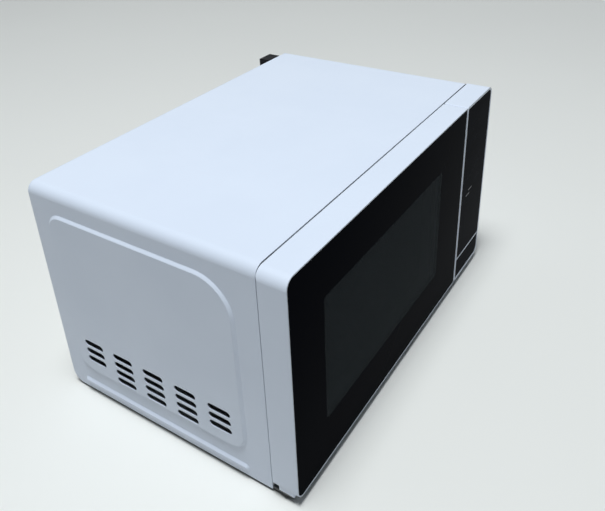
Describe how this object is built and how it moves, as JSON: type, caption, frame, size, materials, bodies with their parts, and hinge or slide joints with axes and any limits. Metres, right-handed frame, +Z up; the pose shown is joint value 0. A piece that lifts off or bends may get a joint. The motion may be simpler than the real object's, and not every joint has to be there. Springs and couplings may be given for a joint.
{
  "type": "microwave oven",
  "caption": "Compact white countertop microwave oven with a side-hinged black glass door, a flat control side with a push-to-open button, and a turntable.",
  "frame": {"origin": "on the table under the middle of the whole oven's box, feet at z = 0", "axes": "+X to the right seen from the front (longest side), +Y to the back, +Z up (shortest side); the door faces -Y"},
  "size_m": [0.489, 0.3566, 0.275],
  "materials": {
    "white_steel": "smooth white powder coat",
    "zinc_steel": "zinc-plated sheet",
    "cavity_enamel": "light grey enamel",
    "black_rubber": "matt",
    "black_plastic": "fine grain",
    "black_steel": "black paint",
    "white_plastic": "smooth white",
    "black_gloss": "high gloss",
    "door_glass": "black print round a tinted window",
    "clear_film": "clear sheet",
    "tray_glass": "clear toughened glass",
    "grey_plastic": "light grey",
    "natural_plastic": "natural nylon",
    "mica": "silvery mica",
    "steel_core": "varnished laminations",
    "copper": "bare copper",
    "enamelled_wire": "enamelled winding wire",
    "aluminium": "drawn can",
    "screw_steel": "bright zinc",
    "ceramic": "pink ceramic",
    "lamp_glass": "clear bulb",
    "board_green": "solder mask",
    "parts_mixed": "moulded parts",
    "display_blue": "dark filter",
    "spring_steel": "drawn wire"
  },
  "bodies": {
    "oven": {"base_plate": "zinc_steel", "board_parts": "parts_mixed", "button_spring": "spring_steel", "capacitor_clamp": "zinc_steel", "cavity": "cavity_enamel", "control_board": "board_green", "control_fascia": "black_gloss", "control_housing": "white_plastic", "cord_gland": "black_plastic", "display_module": "display_blue", "door_switches": "parts_mixed", "fan_motor_coil": "enamelled_wire", "fan_motor_core": "steel_core", "fan_shroud": "grey_plastic", "feet": "black_rubber", "filter_board": "board_green", "filter_parts": "parts_mixed", "front_plate": "cavity_enamel", "hinge_lower": "black_steel", "hinge_upper": "zinc_steel", "hv_capacitor": "aluminium", "hv_diode": "parts_mixed", "lamp_holder": "zinc_steel", "latch_board": "natural_plastic", "magnetron_anode": "copper", "magnetron_antenna": "ceramic", "magnetron_filter_box": "zinc_steel", "magnetron_yoke": "zinc_steel", "motor_cover": "zinc_steel", "outer_casing": "white_steel", "oven_lamp": "lamp_glass", "rear_panel": "zinc_steel", "rear_spacer": "black_plastic", "screws": "screw_steel", "thermal_cutouts": "parts_mixed", "transformer_core": "steel_core", "transformer_windings": "enamelled_wire", "turntable_motor": "zinc_steel", "waveguide": "zinc_steel", "waveguide_cover": "mica"},
    "door": {"door_frame": "white_plastic", "door_glass": "door_glass", "door_choke": "black_steel", "door_screen": "black_steel", "door_inner_cover": "grey_plastic", "door_inner_film": "clear_film", "latch_spring": "spring_steel"},
    "latch": {"door_latch": "natural_plastic"},
    "open_button": {"open_button": "black_gloss"},
    "release_lever": {"release_lever": "natural_plastic"},
    "turntable": {"drive_coupler": "natural_plastic"},
    "glass_tray": {"glass_tray": "tray_glass"},
    "roller_ring": {"roller_ring": "natural_plastic"},
    "roller_1": {"roller_1": "natural_plastic"},
    "roller_2": {"roller_2": "natural_plastic"},
    "roller_3": {"roller_3": "natural_plastic"},
    "fan": {"fan_blade": "grey_plastic"},
    "switch_plunger_1": {"switch_plunger_1": "natural_plastic"},
    "switch_plunger_2": {"switch_plunger_2": "natural_plastic"},
    "switch_plunger_3": {"switch_plunger_3": "natural_plastic"}
  },
  "joints": [
    {"name": "door_hinge", "type": "hinge", "parent": "oven", "child": "door", "pos_m": [-0.238, -0.1613, 0.1375], "axis": [0, 0, -1], "range_deg": [0, 95]},
    {"name": "latch_slide", "type": "slide", "parent": "door", "child": "latch", "axis": [0, 0, 1], "range_m": [0, 0.0025], "stiffness_N_per_m": 200, "springref_m": -0.003, "deforming": ["latch_spring"]},
    {"name": "button_press", "type": "slide", "parent": "oven", "child": "open_button", "axis": [0, 1, 0], "range_m": [0, 0.004], "stiffness_N_per_m": 300, "springref_m": -0.002, "deforming": ["button_spring"]},
    {"name": "lever_turn", "type": "hinge", "parent": "oven", "child": "release_lever", "pos_m": [0.1665, -0.1387, 0.0575], "axis": [1, 0, 0], "range_deg": [0, 8.3]},
    {"name": "turntable_spin", "type": "hinge", "parent": "oven", "child": "turntable", "pos_m": [-0.0525, -0.0092, 0.038], "axis": [0, 0, 1], "continuous": true},
    {"name": "tray_lift", "type": "slide", "parent": "turntable", "child": "glass_tray", "axis": [0, 0, 1], "range_m": [0, 0.03]},
    {"name": "ring_spin", "type": "hinge", "parent": "oven", "child": "roller_ring", "pos_m": [-0.0525, -0.0092, 0.0463], "axis": [0, 0, 1], "continuous": true},
    {"name": "fan_spin", "type": "hinge", "parent": "oven", "child": "fan", "pos_m": [0.1745, 0.0843, 0.176], "axis": [0, 1, 0], "continuous": true},
    {"name": "roller_1_spin", "type": "hinge", "parent": "roller_ring", "child": "roller_1", "pos_m": [-0.0525, 0.0788, 0.0463], "axis": [0, 1, 0], "continuous": true},
    {"name": "roller_2_spin", "type": "hinge", "parent": "roller_ring", "child": "roller_2", "pos_m": [-0.12871, -0.0532, 0.0463], "axis": [-0.866, -0.5, 0], "continuous": true},
    {"name": "roller_3_spin", "type": "hinge", "parent": "roller_ring", "child": "roller_3", "pos_m": [0.02371, -0.0532, 0.0463], "axis": [0.866, -0.5, 0], "continuous": true},
    {"name": "switch_plunger_1_press", "type": "slide", "parent": "oven", "child": "switch_plunger_1", "axis": [0, 1, 0], "range_m": [0, 0.0008], "stiffness_N_per_m": 120},
    {"name": "switch_plunger_2_press", "type": "slide", "parent": "oven", "child": "switch_plunger_2", "axis": [0, 1, 0], "range_m": [0, 0.0008], "stiffness_N_per_m": 120},
    {"name": "switch_plunger_3_press", "type": "slide", "parent": "oven", "child": "switch_plunger_3", "axis": [0, 1, 0], "range_m": [0, 0.0008], "stiffness_N_per_m": 120}
  ],
  "couplings": [
    {"joint": "lever_turn", "follows": "button_press", "rad_per_m": 35.714},
    {"joint": "latch_slide", "follows": "button_press", "ratio": 0.6},
    {"joint": "ring_spin", "follows": "turntable_spin", "ratio": 0.5},
    {"joint": "roller_1_spin", "follows": "turntable_spin", "ratio": -5.5},
    {"joint": "roller_2_spin", "follows": "turntable_spin", "ratio": -5.5},
    {"joint": "roller_3_spin", "follows": "turntable_spin", "ratio": -5.5}
  ]
}
